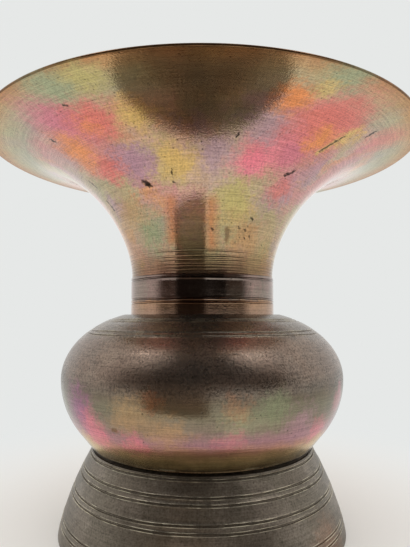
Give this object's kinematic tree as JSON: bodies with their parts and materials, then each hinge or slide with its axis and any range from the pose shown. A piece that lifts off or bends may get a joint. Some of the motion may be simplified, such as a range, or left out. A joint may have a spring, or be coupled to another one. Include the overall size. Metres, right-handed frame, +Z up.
{
  "type": "bronze flower vessel",
  "caption": "Turned bronze gu-form flower vessel with a wide thin-lipped trumpet mouth that lifts out of a grooved neck collar, above a squat bulb belly and a flared grooved foot.",
  "frame": {"origin": "turning axis at the standing plane of the foot", "axes": "+Z up along the turning axis; the object is round, so X and Y are free, and -Y faces the viewer"},
  "size_m": [0.23, 0.23, 0.2],
  "materials": {
    "mouth_bronze": "satin turned bronze with an iridescent heat patina",
    "collar_bronze": "dark brown polished bronze",
    "belly_bronze": "dark brown bronze, iridescent on the lower half",
    "foot_bronze": "matt grey-brown turned bronze",
    "floor_bronze": "dull bronze",
    "solder": "dull solder"
  },
  "bodies": {
    "vessel": {"foot": "foot_bronze", "belly": "belly_bronze", "belly_floor": "floor_bronze", "neck_collar": "collar_bronze", "foot_solder": "solder", "floor_solder": "solder", "collar_solder": "solder"},
    "mouth": {"mouth_trumpet": "mouth_bronze"}
  },
  "joints": [
    {"name": "mouth_lift", "type": "slide", "parent": "vessel", "child": "mouth", "axis": [0, 0, 1], "range_m": [0, 0.03]}
  ]
}
